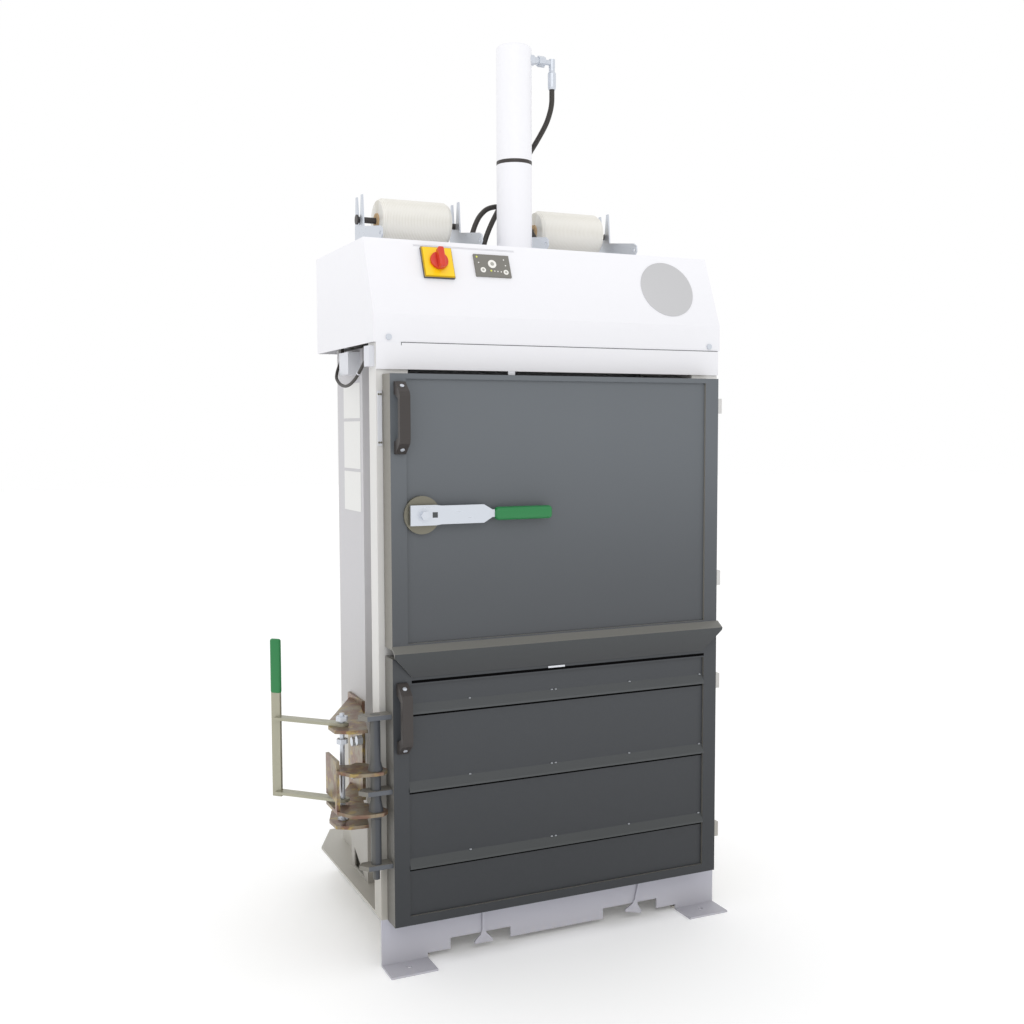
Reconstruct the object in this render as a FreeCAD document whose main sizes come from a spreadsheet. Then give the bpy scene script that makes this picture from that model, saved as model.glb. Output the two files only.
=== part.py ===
import FreeCAD, Part
import math
import os

import Sketcher

Vector = FreeCAD.Vector
Rotation = FreeCAD.Rotation

# A vertical recycling baler: welded steel frame, chamber with two doors hung on its right side,
# a hydraulic ram under a sheet hood, and a claw lock on the left.  Millimetres.
# Stations: x from the left face, y back from the front sheet, z up from the floor.
# The origin lies on the floor, midway between the two front anchor holes.

SIZES = {
    # frame
    "body_width": 950, "deck_depth": 678, "deck_top": 123.5, "deck_plate": 6,
    "wing_back": 541, "wing_in": 63, "sheet": 4, "sill_plate": 5, "sill_rise": 15,
    "foot_width": 118, "foot_reach": 72.6, "foot_plate": 5, "anchor_in": 59, "anchor_out": 31,
    "anchor_radius": 7, "notch_in": 178, "notch_width": 163.5, "notch_top": 42,
    "rear_foot_in": 95, "rail_in": 85, "rail_width": 40, "post_depth": 52, "chamber_wall": 75,
    "chamber_depth": 577,
    "body_top": 1505, "header_low": "=body_top - 63", "header_out": 6,
    "column_in": 37, "column_front": 225, "column_back": 446, "column_cut": 371,
    "column_cut_top": 560, "floor_plate": 8, "groove_width": 16, "groove_deep": 5,
    "groove_pitch": 160, "back_rib_width": 60, "back_rib_depth": 30,
    "crosshead_front": 160, "crosshead_top": "=body_top + 95", "crosshead_plate": 12,
    # hydraulics
    "ram_y": 257, "tube_radius": 47, "tube_bore": 38, "tube_top": "=body_top + 804", "tube_cap": 15,
    "flange_radius": 95, "flange_thick": 25, "flange_bolt_ring": 76, "rod_radius": 20,
    "piston_low": "=body_top + 730", "piston_high": "=body_top + 760",
    "gland_high": 35, "slide_gap": 0.3,
    "plate_low": "=body_top - 113", "plate_thick": 12, "plate_gap": 4, "plate_rib_high": 60,
    "port_z": "=body_top + 771", "hose_radius": 7,
    # hood
    "hood_out": 5.5, "hood_front": 4, "hood_strip_top": "=body_top + 66", "hood_run": 74,
    "hood_top": "=body_top + 252",
    "hood_back": 489, "hood_sheet": 2, "switch_x": 173, "switch_rise": 129, "switch_plate": 75,
    "knob_radius": 23, "keypad_x": 318, "keypad_rise": 130, "keypad_width": 94,
    # twine
    "twine_y": 408, "twine_z": "=body_top + 352", "twine_rod": 8, "twine_core": 20, "twine_radius": 60,
    "twine_length": 195, "twine_gap": 50, "twine_lean": 28, "fork_plate": 4,
    # doors
    "door_in": 15, "door_right_gap": 33, "door_face": 57, "door_back": 2, "door_sheet": 4,
    "stile_width": 39, "lower_low": 117, "lower_high": 763, "upper_low": 785,
    "upper_high": "=body_top - 75",
    "field_deep": 6, "rib_high": 24, "rib_first": 628, "rib_pitch": 187, "lip_out": 80,
    "lip_high": 778, "lip_low": 717, "lip_end": 51, "pin_x_out": 18, "pin_y": 68, "pin_radius": 8,
    "knuckle_radius": 15, "knuckle_high": 40, "fit_gap": 0.05, "arm_thick": 8,
    "handle_x": 37, "handle_wide": 26, "handle_long": 168, "handle_out": 42, "handle_thick": 13,
    "upper_handle_top": "=body_top - 94", "lower_handle_top": 706,
    "latch_x": 90, "latch_z": 1100, "latch_disc": 45,
    # lock
    "bar_out": 21, "bar_front": 30, "bar_radius": 12.5, "tab_thick": 11, "tab_top": 631,
    "tab_mid": 451, "tab_low": 272, "claw_low": 392, "claw_high": 490, "claw_plate": 8,
    "lever_out": 75, "lever_y": 60, "lever_pin": 6, "lever_arm_x": 128,
    "lever_arm_y": 130, "lever_width": 28, "bracket_low": 352, "bracket_high": 582,
}


class Size:
    """A length that keeps both its value and the sheet formula that drives it."""

    def __init__(self, value, text=""):
        self.value = float(value)
        self.text = text or f"({float(value):.6g})"

    def __add__(self, other):
        other = as_size(other)
        return Size(self.value + other.value, f"({self.text} + {other.text})")

    def __sub__(self, other):
        other = as_size(other)
        return Size(self.value - other.value, f"({self.text} - {other.text})")

    def __mul__(self, other):
        other = as_size(other)
        return Size(self.value * other.value, f"({self.text} * {other.text})")

    def __truediv__(self, other):
        other = as_size(other)
        return Size(self.value / other.value, f"({self.text} / {other.text})")

    def __radd__(self, other):
        return as_size(other) + self

    def __rsub__(self, other):
        return as_size(other) - self

    def __rmul__(self, other):
        return as_size(other) * self

    def __neg__(self):
        return Size(-self.value, f"(0 - {self.text})")


def as_size(thing):
    return thing if isinstance(thing, Size) else Size(thing)


doc = FreeCAD.newDocument("vertical_baler")
sheet = doc.addObject("Spreadsheet::Sheet", "sizes")
for row, (alias, number) in enumerate(SIZES.items(), start=1):
    sheet.set(f"A{row}", alias)
    sheet.set(f"B{row}", str(number))
    sheet.setAlias(f"B{row}", alias)
doc.recompute()


class Sheet:
    """Gives each alias of the sheet as a Size."""

    def __getattr__(self, alias):
        return Size(sheet.get(alias), f"sizes.{alias}")


s = Sheet()
nodes = []


def bind(thing, prop, size):
    thing.setExpression(prop, as_size(size).text)


def place(thing, x, y, z, rotation=None):
    """Puts an object at a station."""
    if rotation:
        thing.Placement = FreeCAD.Placement(Vector(), rotation)
    bind(thing, "Placement.Base.x", as_size(x) - s.body_width / 2)
    bind(thing, "Placement.Base.y", as_size(y) + s.anchor_out)
    bind(thing, "Placement.Base.z", z)
    return thing


def block(x, y, z):
    """A box between two stations on each axis."""
    box = doc.addObject("Part::Box", "block")
    for side, (low, high) in zip(("Length", "Width", "Height"), (x, y, z)):
        bind(box, side, as_size(high) - low)
    return place(box, x[0], y[0], z[0])


ALONG = {
    "z": Rotation(),
    "x": Rotation(Vector(0, 1, 0), 90),
    "-x": Rotation(Vector(0, 1, 0), -90),
    "y": Rotation(Vector(1, 0, 0), -90),
    "-y": Rotation(Vector(1, 0, 0), 90),
    "-z": Rotation(Vector(1, 0, 0), 180),
}


def rod(x, y, z, radius, length, along="z"):
    """A round bar that starts at a station and runs along an axis."""
    bar = doc.addObject("Part::Cylinder", "rod")
    bind(bar, "Radius", radius)
    bind(bar, "Height", length)
    return place(bar, x, y, z, ALONG[along])


def hexagon(x, y, z, across, length, along="z"):
    """A hexagon head or nut, given its size across the corners."""
    nut = doc.addObject("Part::Prism", "hexagon")
    nut.Polygon = 6
    bind(nut, "Circumradius", as_size(across) / 2)
    bind(nut, "Height", length)
    return place(nut, x, y, z, ALONG[along])


def cut(base, *tools):
    for tool in tools:
        piece = doc.addObject("Part::Cut", "cut")
        piece.Base = base
        piece.Tool = tool
        base = piece
    return base


def fuse(*pieces):
    joined = doc.addObject("Part::MultiFuse", "fuse")
    joined.Shapes = list(pieces)
    joined.Refine = True
    return joined


def group(*pieces):
    """Separate solids of one node."""
    together = doc.addObject("Part::Compound", "group")
    together.Links = list(pieces)
    return together


def mirrored(piece):
    """The same piece on the other side of the middle of the body."""
    twin = doc.addObject("Part::Mirroring", "mirrored")
    twin.Source = piece
    twin.Normal = (1, 0, 0)
    twin.Base = (0, 0, 0)
    return twin


def node(label, piece):
    piece.Label = label
    nodes.append(piece)
    return piece


def outline_sketch(body, plane, points, circles=()):
    """A closed outline in a body's own plane, every corner bound to the sheet."""
    sketch = body.newObject("Sketcher::SketchObject", "outline")
    origin = next(f for f in body.Origin.OriginFeatures if f.Role == plane)
    sketch.AttachmentSupport = [(origin, "")]
    sketch.MapMode = "FlatFace"
    points = [(as_size(u), as_size(v)) for u, v in points]
    flat = [Vector(u.value, v.value, 0) for u, v in points]
    for i, start in enumerate(flat):
        sketch.addGeometry(Part.LineSegment(start, flat[(i + 1) % len(flat)]), False)
    for i in range(len(flat)):
        sketch.addConstraint(Sketcher.Constraint("Coincident", i, 2, (i + 1) % len(flat), 1))
    bound = [(i, 1, u, v) for i, (u, v) in enumerate(points)]
    for u, v, radius in circles:
        u, v, radius = as_size(u), as_size(v), as_size(radius)
        circle = Part.Circle(Vector(u.value, v.value, 0), Vector(0, 0, 1), radius.value)
        edge = sketch.addGeometry(circle, False)
        rim = sketch.addConstraint(Sketcher.Constraint("Radius", edge, radius.value))
        bind(sketch, f"Constraints[{rim}]", radius)
        bound.append((edge, 3, u, v))
    for edge, end, u, v in bound:
        for kind, size in (("DistanceX", u), ("DistanceY", v)):
            index = sketch.addConstraint(
                Sketcher.Constraint(kind, -1, 1, edge, end, size.value))
            bind(sketch, f"Constraints[{index}]", size)
    return sketch


def prism(plane, points, low, high, circles=()):
    """A plate or bar: an outline pushed from one station to another.

    XY outlines are (x, y) and run along z; XZ are (x, z) along y; YZ are (y, z) along x.
    """
    body = doc.addObject("PartDesign::Body", "plate")
    sketch = outline_sketch(body, plane + "_Plane", points, circles)
    pad = body.newObject("PartDesign::Pad", "pad")
    pad.Profile = sketch
    bind(pad, "Length", as_size(high) - low)
    start = {"XY": (0, 0, low), "XZ": (0, high, 0), "YZ": (low, 0, 0)}[plane]
    return place(body, *start)


def turned(x, y, z, profile, along="z"):
    """A turned piece: (radius, height) corners spun about its own axis at a station."""
    body = doc.addObject("PartDesign::Body", "turned")
    sketch = outline_sketch(body, "XZ_Plane", profile)
    spin = body.newObject("PartDesign::Revolution", "spin")
    spin.Profile = sketch
    spin.ReferenceAxis = (sketch, ["V_Axis"])
    spin.Angle = 360
    return place(body, x, y, z, ALONG[along])


def tube_profile(inner, outer, low, high):
    return [(inner, low), (outer, low), (outer, high), (inner, high)]


def bent_tube(points, radius):
    """A hose: straight runs joined by tangent arcs, each as large as its runs allow."""
    points = [Vector(*p) for p in points]
    edges = []
    radii = []
    start = points[0]
    for before, corner, after in zip(points, points[1:], points[2:]):
        back = (before - corner).normalize()
        ahead = (after - corner).normalize()
        run = min((before - corner).Length, (after - corner).Length)
        reach = 0.45 * run
        turn = math.pi - back.getAngle(ahead)
        bend = reach / math.tan(turn / 2)
        radii.append(round(bend, 1))
        enter = corner + back * reach
        leave = corner + ahead * reach
        inward = (back + ahead).normalize()
        middle = corner + inward * (bend / math.cos(turn / 2) - bend)
        edges.append(Part.LineSegment(start, enter).toShape())
        edges.append(Part.Arc(enter, middle, leave).toShape())
        start = leave
    edges.append(Part.LineSegment(start, points[-1]).toShape())
    path = Part.Wire(edges)
    ring = Part.Wire(Part.makeCircle(radius, points[0], points[1] - points[0]))
    tube = path.makePipeShell([ring], True, False)
    expected = math.pi * radius ** 2 * path.Length
    print("hose: length %.1f, volume share %.4f, radii %s"
          % (path.Length, tube.Volume / expected, radii))
    return tube


# ---- base ---------------------------------------------------------------------------------

deck_under = s.deck_top - s.deck_plate
right = s.body_width
middle = s.body_width / 2


def anchor_holes(inset, y):
    """The two floor-anchor holes of one end."""
    return [rod(x, y, -s.foot_plate, s.anchor_radius, s.foot_plate * 3)
            for x in (inset, right - inset)]


sill_left = [(0, 0), (s.foot_width, 0), (s.foot_width, s.sill_rise), (s.notch_in, s.sill_rise),
             (s.notch_in, s.notch_top), (s.notch_in + s.notch_width, s.notch_top),
             (s.notch_in + s.notch_width, s.sill_rise)]
sill_outline = (sill_left + [(right - x, z) for x, z in reversed(sill_left)]
                + [(right, deck_under), (0, deck_under)])
hook_hole_z = 88
hook_xs = (266, 715)
hook_holes = [(x, hook_hole_z, 4) for x in hook_xs]
sill_sheet = prism("XZ", sill_outline, 0, s.sill_plate, hook_holes)
front_feet = [block(x, (-s.foot_reach, s.sill_plate / 2), (0, s.foot_plate))
              for x in ((0, s.foot_width), (right - s.foot_width, right))]
node("front_sill", cut(fuse(sill_sheet, *front_feet), *anchor_holes(s.anchor_in, -s.anchor_out)))

rear_plane = s.deck_depth - s.sill_plate
rear_in, rear_stop = s.rear_foot_in, s.rear_foot_in + s.foot_width
rear_sheet = block((rear_in, right - rear_in), (rear_plane, s.deck_depth), (0, deck_under))
rear_feet = [block(x, (rear_plane, s.deck_depth + s.foot_reach), (0, s.foot_plate))
             for x in ((rear_in, rear_stop), (right - rear_stop, right - rear_in))]
rear_holes = anchor_holes(rear_in + s.anchor_in, s.deck_depth + s.anchor_out)
node("rear_sill", cut(fuse(rear_sheet, *rear_feet), *rear_holes))

rail_out = s.rail_in + s.rail_width
rail_outline = [(s.rail_in, s.foot_plate), (rail_out, s.foot_plate),
                (rail_out, s.foot_plate + s.sheet), (s.rail_in + s.sheet, s.foot_plate + s.sheet),
                (s.rail_in + s.sheet, deck_under - s.sheet), (rail_out, deck_under - s.sheet),
                (rail_out, deck_under), (s.rail_in, deck_under)]
left_rail = prism("XZ", rail_outline, s.sill_plate, rear_plane)
node("under_rails", group(left_rail, mirrored(left_rail)))

deck_outline = [(0, 0), (right, 0), (right, s.wing_back), (right - s.wing_in, s.deck_depth),
                (s.wing_in, s.deck_depth), (0, s.wing_back)]
node("base_deck", prism("XY", deck_outline, deck_under, s.deck_top))

# ---- posts, columns, walls ------------------------------------------------------------------

post_outline = [(0, 0), (s.chamber_wall, 0), (s.chamber_wall, s.sheet), (s.sheet, s.sheet),
                (s.sheet, s.post_depth), (0, s.post_depth)]
left_post = node("left_front_post", prism("XY", post_outline, s.deck_top, s.body_top))
node("right_front_post", mirrored(left_post))

web = s.column_in + s.sheet
column_outline = [(s.column_in, s.column_front), (s.chamber_wall, s.column_front),
                  (s.chamber_wall, s.column_front + s.sheet), (web, s.column_front + s.sheet),
                  (web, s.column_back - s.sheet), (s.chamber_wall, s.column_back - s.sheet),
                  (s.chamber_wall, s.column_back), (s.column_in, s.column_back)]
column = prism("XY", column_outline, s.deck_top, s.body_top)
setback = block((0, s.chamber_wall + 1), (s.column_cut, s.column_back + 1),
                (s.deck_top - 1, s.column_cut_top))
closing = block((s.column_in, s.chamber_wall), (s.column_cut - s.sheet, s.column_cut),
                (s.deck_top, s.column_cut_top))
# a corner of the web is left open above the deck
web_window = prism("YZ", [(s.column_front + 30, s.deck_top + 8),
                          (s.column_cut - 29, s.deck_top + 8), (s.column_cut - 29, 183)],
                   s.column_in - 1, web + 1)
left_column = node("left_column", cut(fuse(cut(column, setback), closing), web_window))
node("right_column", mirrored(left_column))

wall_in = s.chamber_wall + s.sheet
left_wall = node("left_side_wall", block((s.chamber_wall, wall_in), (0, s.chamber_depth),
                                         (s.deck_top, s.body_top)))
node("right_side_wall", mirrored(left_wall))
back_face = s.chamber_depth + s.sheet
back_sheet = block((s.chamber_wall, right - s.chamber_wall), (s.chamber_depth, back_face),
                   (s.deck_top, s.body_top))
back_ribs = [block((x - s.back_rib_width / 2, x + s.back_rib_width / 2),
                   (back_face, back_face + s.back_rib_depth), (s.deck_top, s.body_top))
             for x in (middle - 2 * s.groove_pitch + 25, middle, middle + 2 * s.groove_pitch - 25)]
node("rear_wall", group(back_sheet, *back_ribs))


def grooved_outline(x_low, x_high, plain, grooved):
    """A plate's section with four twine grooves in the face at the height grooved."""
    deep = s.groove_deep if grooved.value > plain.value else -s.groove_deep
    points = [(x_high, plain), (x_low, plain), (x_low, grooved)]
    for count in (-1.5, -0.5, 0.5, 1.5):
        x = middle + s.groove_pitch * count
        left, far = x - s.groove_width / 2, x + s.groove_width / 2
        points += [(left, grooved), (left, grooved - deep), (far, grooved - deep), (far, grooved)]
    return points + [(x_high, grooved)]


node("floor_plate", prism("XZ", grooved_outline(wall_in, right - wall_in, s.deck_top,
                                                s.deck_top + s.floor_plate),
                          0, s.chamber_depth))

header_face = -s.header_out
header_outline = [(header_face, s.header_low), (0, s.header_low), (0, s.header_low + s.sheet),
                  (header_face + s.sheet, s.header_low + s.sheet),
                  (header_face + s.sheet, s.body_top), (header_face, s.body_top)]
node("header_panel", prism("YZ", header_outline, 0, right))

beam_under = s.crosshead_top - s.crosshead_plate
beam_outline = [(s.crosshead_front, s.body_top),
                (s.crosshead_front + s.crosshead_plate, s.body_top),
                (s.crosshead_front + s.crosshead_plate, beam_under),
                (s.column_back - s.crosshead_plate, beam_under),
                (s.column_back - s.crosshead_plate, s.body_top), (s.column_back, s.body_top),
                (s.column_back, s.crosshead_top), (s.crosshead_front, s.crosshead_top)]
beam = prism("YZ", beam_outline, s.column_in, right - s.column_in)
beam_hole = rod(middle, s.ram_y, beam_under - 1, s.rod_radius + 4, s.crosshead_plate + 2)
node("crosshead_beam", cut(beam, beam_hole))

# ---- cylinder and ram -----------------------------------------------------------------------

tube_low = s.crosshead_top
bore_top = s.tube_top - s.tube_cap
round_off = 4
tube_profile_points = [(s.tube_bore, tube_low), (s.tube_radius, tube_low),
                       (s.tube_radius, s.tube_top - round_off),
                       (s.tube_radius - round_off, s.tube_top), (0, s.tube_top), (0, bore_top),
                       (s.tube_bore, bore_top)]
node("cylinder_tube", turned(middle, s.ram_y, 0, tube_profile_points))
node("cylinder_flange", turned(middle, s.ram_y, tube_low, tube_profile(
    s.tube_radius + s.fit_gap, s.flange_radius, 0, s.flange_thick)))
node("cylinder_gland", turned(middle, s.ram_y, tube_low, tube_profile(
    s.rod_radius + s.fit_gap, s.tube_bore - s.fit_gap, 0, s.gland_high)))

plate_top = s.plate_low + s.plate_thick
piston = [(0, plate_top), (s.rod_radius, plate_top), (s.rod_radius, s.piston_low),
          (s.tube_bore - s.fit_gap, s.piston_low), (s.tube_bore - s.fit_gap, s.piston_high),
          (0, s.piston_high)]
node("piston_rod", turned(middle, s.ram_y, 0, piston))
plate_front, plate_back = s.plate_gap + s.plate_gap, s.chamber_depth - s.plate_gap
node("press_plate", prism("XZ", grooved_outline(wall_in + s.plate_gap,
                                                right - wall_in - s.plate_gap,
                                                plate_top, s.plate_low),
                          plate_front, plate_back))
rib_top = plate_top + s.plate_rib_high
plate_ribs = [block((wall_in + 40, right - wall_in - 40), (y, y + s.crosshead_plate),
                    (plate_top, rib_top))
              for y in (s.ram_y - 60, s.ram_y + 60 - s.crosshead_plate, s.ram_y + 200)]
socket = turned(middle, s.ram_y, plate_top, tube_profile(
    s.rod_radius + s.fit_gap, s.rod_radius * 2, 0, s.plate_rib_high))
node("press_plate_ribs", group(socket, *plate_ribs))

port_x = middle + s.tube_radius
port_y = s.ram_y - s.tube_radius * 0.4
elbow_x = port_x + 56
boss = rod(port_x + 0.5, port_y, s.port_z, 10, 14, "x")
port_nut = hexagon(port_x + 14.5, port_y, s.port_z, 30, 18, "x")
elbow = fuse(rod(port_x + 32.5, port_y, s.port_z, 7, elbow_x - port_x - 32.5, "x"),
             rod(elbow_x, port_y, s.port_z - 12, 8.5, 21))
ferrule = turned(elbow_x, port_y, s.port_z, [(0, -70), (9.5, -70), (11, -64), (11, -28), (8, -22),
                                             (8, -12), (0, -12)])
boss_seat = turned(middle, s.ram_y, s.port_z - 14,
                   tube_profile(s.tube_radius + s.fit_gap, s.tube_radius + 9, 0, 28))
boss_pad = cut(rod(middle, port_y, s.port_z, 14, s.tube_radius + 0.5, "x"),
               rod(middle, s.ram_y, s.port_z - 20, s.tube_radius + s.fit_gap, 40))
node("hose_fitting", group(boss_pad, boss, port_nut, elbow, ferrule))


def shift(points, start_x):
    """A route, x from a start station and z from the body's top, in the part's own frame."""
    x_start, ahead = (start_x - middle).value, s.anchor_out.value
    return [(x + x_start, y + ahead, z + s.body_top.value) for x, y, z in points]


pack_rise = 217
pack_top = s.body_top + pack_rise
hose_x, hose_rise = s.tube_radius.value + 56, (s.port_z - s.body_top).value
pressure_route = shift([
    (hose_x, port_y.value, hose_rise - 70), (hose_x, port_y.value, 660),
    (98, 256, 620), (85, 284, 581), (70, 312, 545), (53, 332, 507),
    (34, 344, 467), (12, 347, 427), (-12, 343, 388), (-35, 338, 348),
    (-53, 335, 307), (-63, 334, 263),
    (-63, 334, pack_rise)], middle)
return_route = shift([
    (-101, 328, pack_rise),
    (-101, 328, 261), (-95, 334, 301), (-81, 345, 340), (-60, 358, 375),
    (-32, 369, 400), (2, 374, 410), (36, 371, 405), (66, 361, 383),
    (88, 347, 351), (103, 336, 313), (110, 328, 269),
    (110, 328, pack_rise)], middle)
for label, route in (("pressure_hose", pressure_route), ("return_hose", return_route)):
    hose = doc.addObject("Part::Feature", "hose")
    hose.Shape = bent_tube(route, s.hose_radius.value)
    node(label, hose)

# ---- power pack under the hood ----------------------------------------------------------------

tank = block((middle - 355, middle - 130), (235, 430), (s.crosshead_top, s.hood_top - 29))
node("oil_tank", tank)
node("valve_block", block((middle - 123, middle + 127), (312, 362), (s.crosshead_top + 40, pack_top)))
motor = rod(middle + 135, 328, s.crosshead_top + 68, 62, 210, "x")
motor_foot = block((middle + 165, middle + 315), (290, 366), (s.crosshead_top, s.crosshead_top + 4))
motor_stem = block((middle + 225, middle + 249), (300, 356),
                   (s.crosshead_top + 3, s.crosshead_top + 68))
pump_body = fuse(motor, motor_foot, motor_stem)
node("pump_motor", pump_body)

# ---- hood --------------------------------------------------------------------------------------

hood_rise = s.hood_top - s.hood_strip_top
hood_low = s.body_top
hood_face = -s.hood_front
hood_shell = [(hood_face, hood_low), (hood_face, s.hood_strip_top),
              (hood_face + s.hood_run, s.hood_top), (s.hood_back, s.hood_top),
              (s.hood_back, hood_low)]
hood_inner = [(hood_face + s.hood_sheet, hood_low - 1),
              (hood_face + s.hood_sheet, s.hood_strip_top),
              (hood_face + s.hood_run + s.hood_sheet * 0.7, s.hood_top - s.hood_sheet),
              (s.hood_back - s.hood_sheet, s.hood_top - s.hood_sheet),
              (s.hood_back - s.hood_sheet, hood_low - 1)]
hood_outer = prism("YZ", hood_shell, -s.hood_out, right + s.hood_out)
hood_space = prism("YZ", hood_inner, s.hood_sheet - s.hood_out,
                   right + s.hood_out - s.hood_sheet)
hood_holes = [rod(x, y, s.hood_top - 10, radius, 20)
              for x, y, radius in ((middle, s.ram_y, s.tube_radius + 6), (middle - 63, 334, 13),
                                   (middle - 101, 328, 13), (middle + 110, 328, 13))]
node("hood", cut(cut(hood_outer, hood_space), *hood_holes))

SLOPE = Rotation(Vector(1, 0, 0), math.degrees(math.atan2(hood_rise.value, s.hood_run.value)))
slope_sine = hood_rise.value / math.hypot(hood_rise.value, s.hood_run.value)
slope_cosine = s.hood_run.value / math.hypot(hood_rise.value, s.hood_run.value)


def on_slope(thing, x, rise, proud, turn=SLOPE):
    """Puts an object on the sloping face, rise above its foot and proud of it."""
    return place(thing, x, hood_face + s.hood_run * rise / hood_rise - slope_sine * as_size(proud),
                 s.hood_strip_top + rise + slope_cosine * as_size(proud), turn)


def slope_plate(x, rise, width, length, low, high):
    """A plate lying on the slope, centred at x and rise."""
    plate = doc.addObject("Part::Box", "slope_plate")
    bind(plate, "Length", width)
    bind(plate, "Width", length)
    bind(plate, "Height", as_size(high) - low)
    return on_slope(plate, as_size(x) - as_size(width) / 2,
                    as_size(rise) - as_size(length) / 2 * slope_sine, low)


def slope_disc(x, rise, radius, low, high):
    disc = doc.addObject("Part::Cylinder", "slope_disc")
    bind(disc, "Radius", radius)
    bind(disc, "Height", as_size(high) - low)
    return on_slope(disc, x, rise, low)


node("switch_base", group(
    slope_plate(s.switch_x, s.switch_rise, s.switch_plate + 4, s.switch_plate + 6, 0, 8),
    slope_plate(s.switch_x, s.switch_rise, s.switch_plate - 2, s.switch_plate, 8, 12)))
knob_collar = slope_disc(s.switch_x, s.switch_rise, s.knob_radius, 12.3, 22)
knob_grip = slope_plate(s.switch_x, s.switch_rise, 16, s.knob_radius * 2.3, 20, 42)
node("switch_knob", fuse(knob_collar, knob_grip))
node("keypad", slope_plate(s.keypad_x, s.keypad_rise, s.keypad_width, 60, 0, 5))

# ---- twine rolls ----------------------------------------------------------------------------------

fork_half = s.twine_rod + s.slide_gap
fork_outline = [
    (s.twine_y - 13, s.hood_top), (s.twine_y + 37, s.hood_top), (s.twine_y + 37, s.twine_z - 22),
    (s.twine_y + 28, s.twine_z + 62), (s.twine_y + 18, s.twine_z + 62),
    (s.twine_y + fork_half, s.twine_z), (s.twine_y + fork_half, s.twine_z - fork_half),
    (s.twine_y - fork_half, s.twine_z - fork_half), (s.twine_y - fork_half, s.twine_z),
    (s.twine_y - 18, s.twine_z + 62), (s.twine_y - 28, s.twine_z + 62),
    (s.twine_y - 37, s.twine_z - 22), (s.twine_y - 175, s.twine_z - 42),
    (s.twine_y - 189, s.twine_z - 50), (s.twine_y - 191, s.twine_z - 66),
    (s.twine_y - 180, s.twine_z - 76), (s.twine_y - 42, s.twine_z - 72)]
roll_starts = (middle - 335, middle + 130)
forks = []
for x in roll_starts:
    for fork_x in (x - s.twine_gap, x + s.twine_length + s.twine_lean):
        forks.append(prism("YZ", fork_outline, fork_x, fork_x + s.fork_plate,
                           [(s.twine_y - 178, s.twine_z - 60, 5)]))
node("twine_brackets", group(*forks))
rods = [turned(x - s.twine_gap - 8, s.twine_y, s.twine_z,
               [(0, 0), (13, 0), (13, 4), (s.twine_rod, 4),
                (s.twine_rod, s.twine_length + s.twine_gap + s.twine_lean + 16),
                (13, s.twine_length + s.twine_gap + s.twine_lean + 16),
                (13, s.twine_length + s.twine_gap + s.twine_lean + 20),
                (0, s.twine_length + s.twine_gap + s.twine_lean + 20)], "x")
        for x in roll_starts]
node("twine_rods", group(*rods))
for label, x in zip(("left_twine_roll", "right_twine_roll"), roll_starts):
    core = turned(x, s.twine_y, s.twine_z, tube_profile(
        fork_half, s.twine_core, -4, s.twine_length + 4), "x")
    wound = turned(x, s.twine_y, s.twine_z, [
        (s.twine_core + s.fit_gap, 0), (s.twine_radius - 6, 0), (s.twine_radius, 10),
        (s.twine_radius, s.twine_length - 10), (s.twine_radius - 6, s.twine_length),
        (s.twine_core + s.fit_gap, s.twine_length)], "x")
    node(label, group(core, wound))

# ---- left side fittings ------------------------------------------------------------------------

label_face = s.column_in - 1
label_heights = [(s.body_top - drop, s.body_top - drop + tall)
                 for drop, tall in ((175, 90), (305, 122), (415, 102))]
node("rating_plates", group(*[
    block((label_face, s.column_in), (245, 388), z) for z in label_heights]))
switch_box = block((-14, 0), (10, 46), (s.body_top - 56, s.body_top - 8))
junction_box = block((5, s.column_in), (240, 318), (s.body_top - 65, s.body_top - 9))
strip = block((3, 13), (-3, 0), (s.body_top - 243, s.body_top - 114))
cable_clip = block((16, s.column_in), (344, 360), (s.body_top + 7, s.body_top + 19))
node("door_switch", group(switch_box, junction_box, strip, cable_clip))
cable_route = shift([
    (-7, 46, -43), (-7, 62, -43), (-8, 92, -61), (-9, 126, -79), (-10, 165, -92),
    (-10, 206, -97), (-9, 246, -94), (-7, 285, -85), (-3, 321, -71), (6, 341, -52),
    (18, 351, -29), (24, 352, -7), (24, 352, 7)], as_size(0))
cable = doc.addObject("Part::Feature", "cable")
cable.Shape = bent_tube(cable_route, 4)
node("door_switch_cable", cable)

hooks = []
for x, lean in zip(hook_xs, (0, -14)):
    shape_points = [(-4, 8), (4, 8), (4, -38), (8, -50), (25, -66), (25, -72), (-25, -72),
                    (-25, -66), (-8, -50), (-4, -38)]
    hook = doc.addObject("PartDesign::Body", "hook")
    hook_sketch = outline_sketch(hook, "XZ_Plane", shape_points)
    hook_pad = hook.newObject("PartDesign::Pad", "pad")
    hook_pad.Profile = hook_sketch
    hook_pad.Length = 4
    place(hook, x, -1, hook_hole_z, Rotation(Vector(0, 1, 0), -lean))
    hook_pin = rod(x, -2, hook_hole_z, 3.7, 14, "y")
    hooks.append(fuse(hook, hook_pin))
node("strap_hooks", group(*hooks))

# ---- fixed half of the lock ----------------------------------------------------------------------

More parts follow.
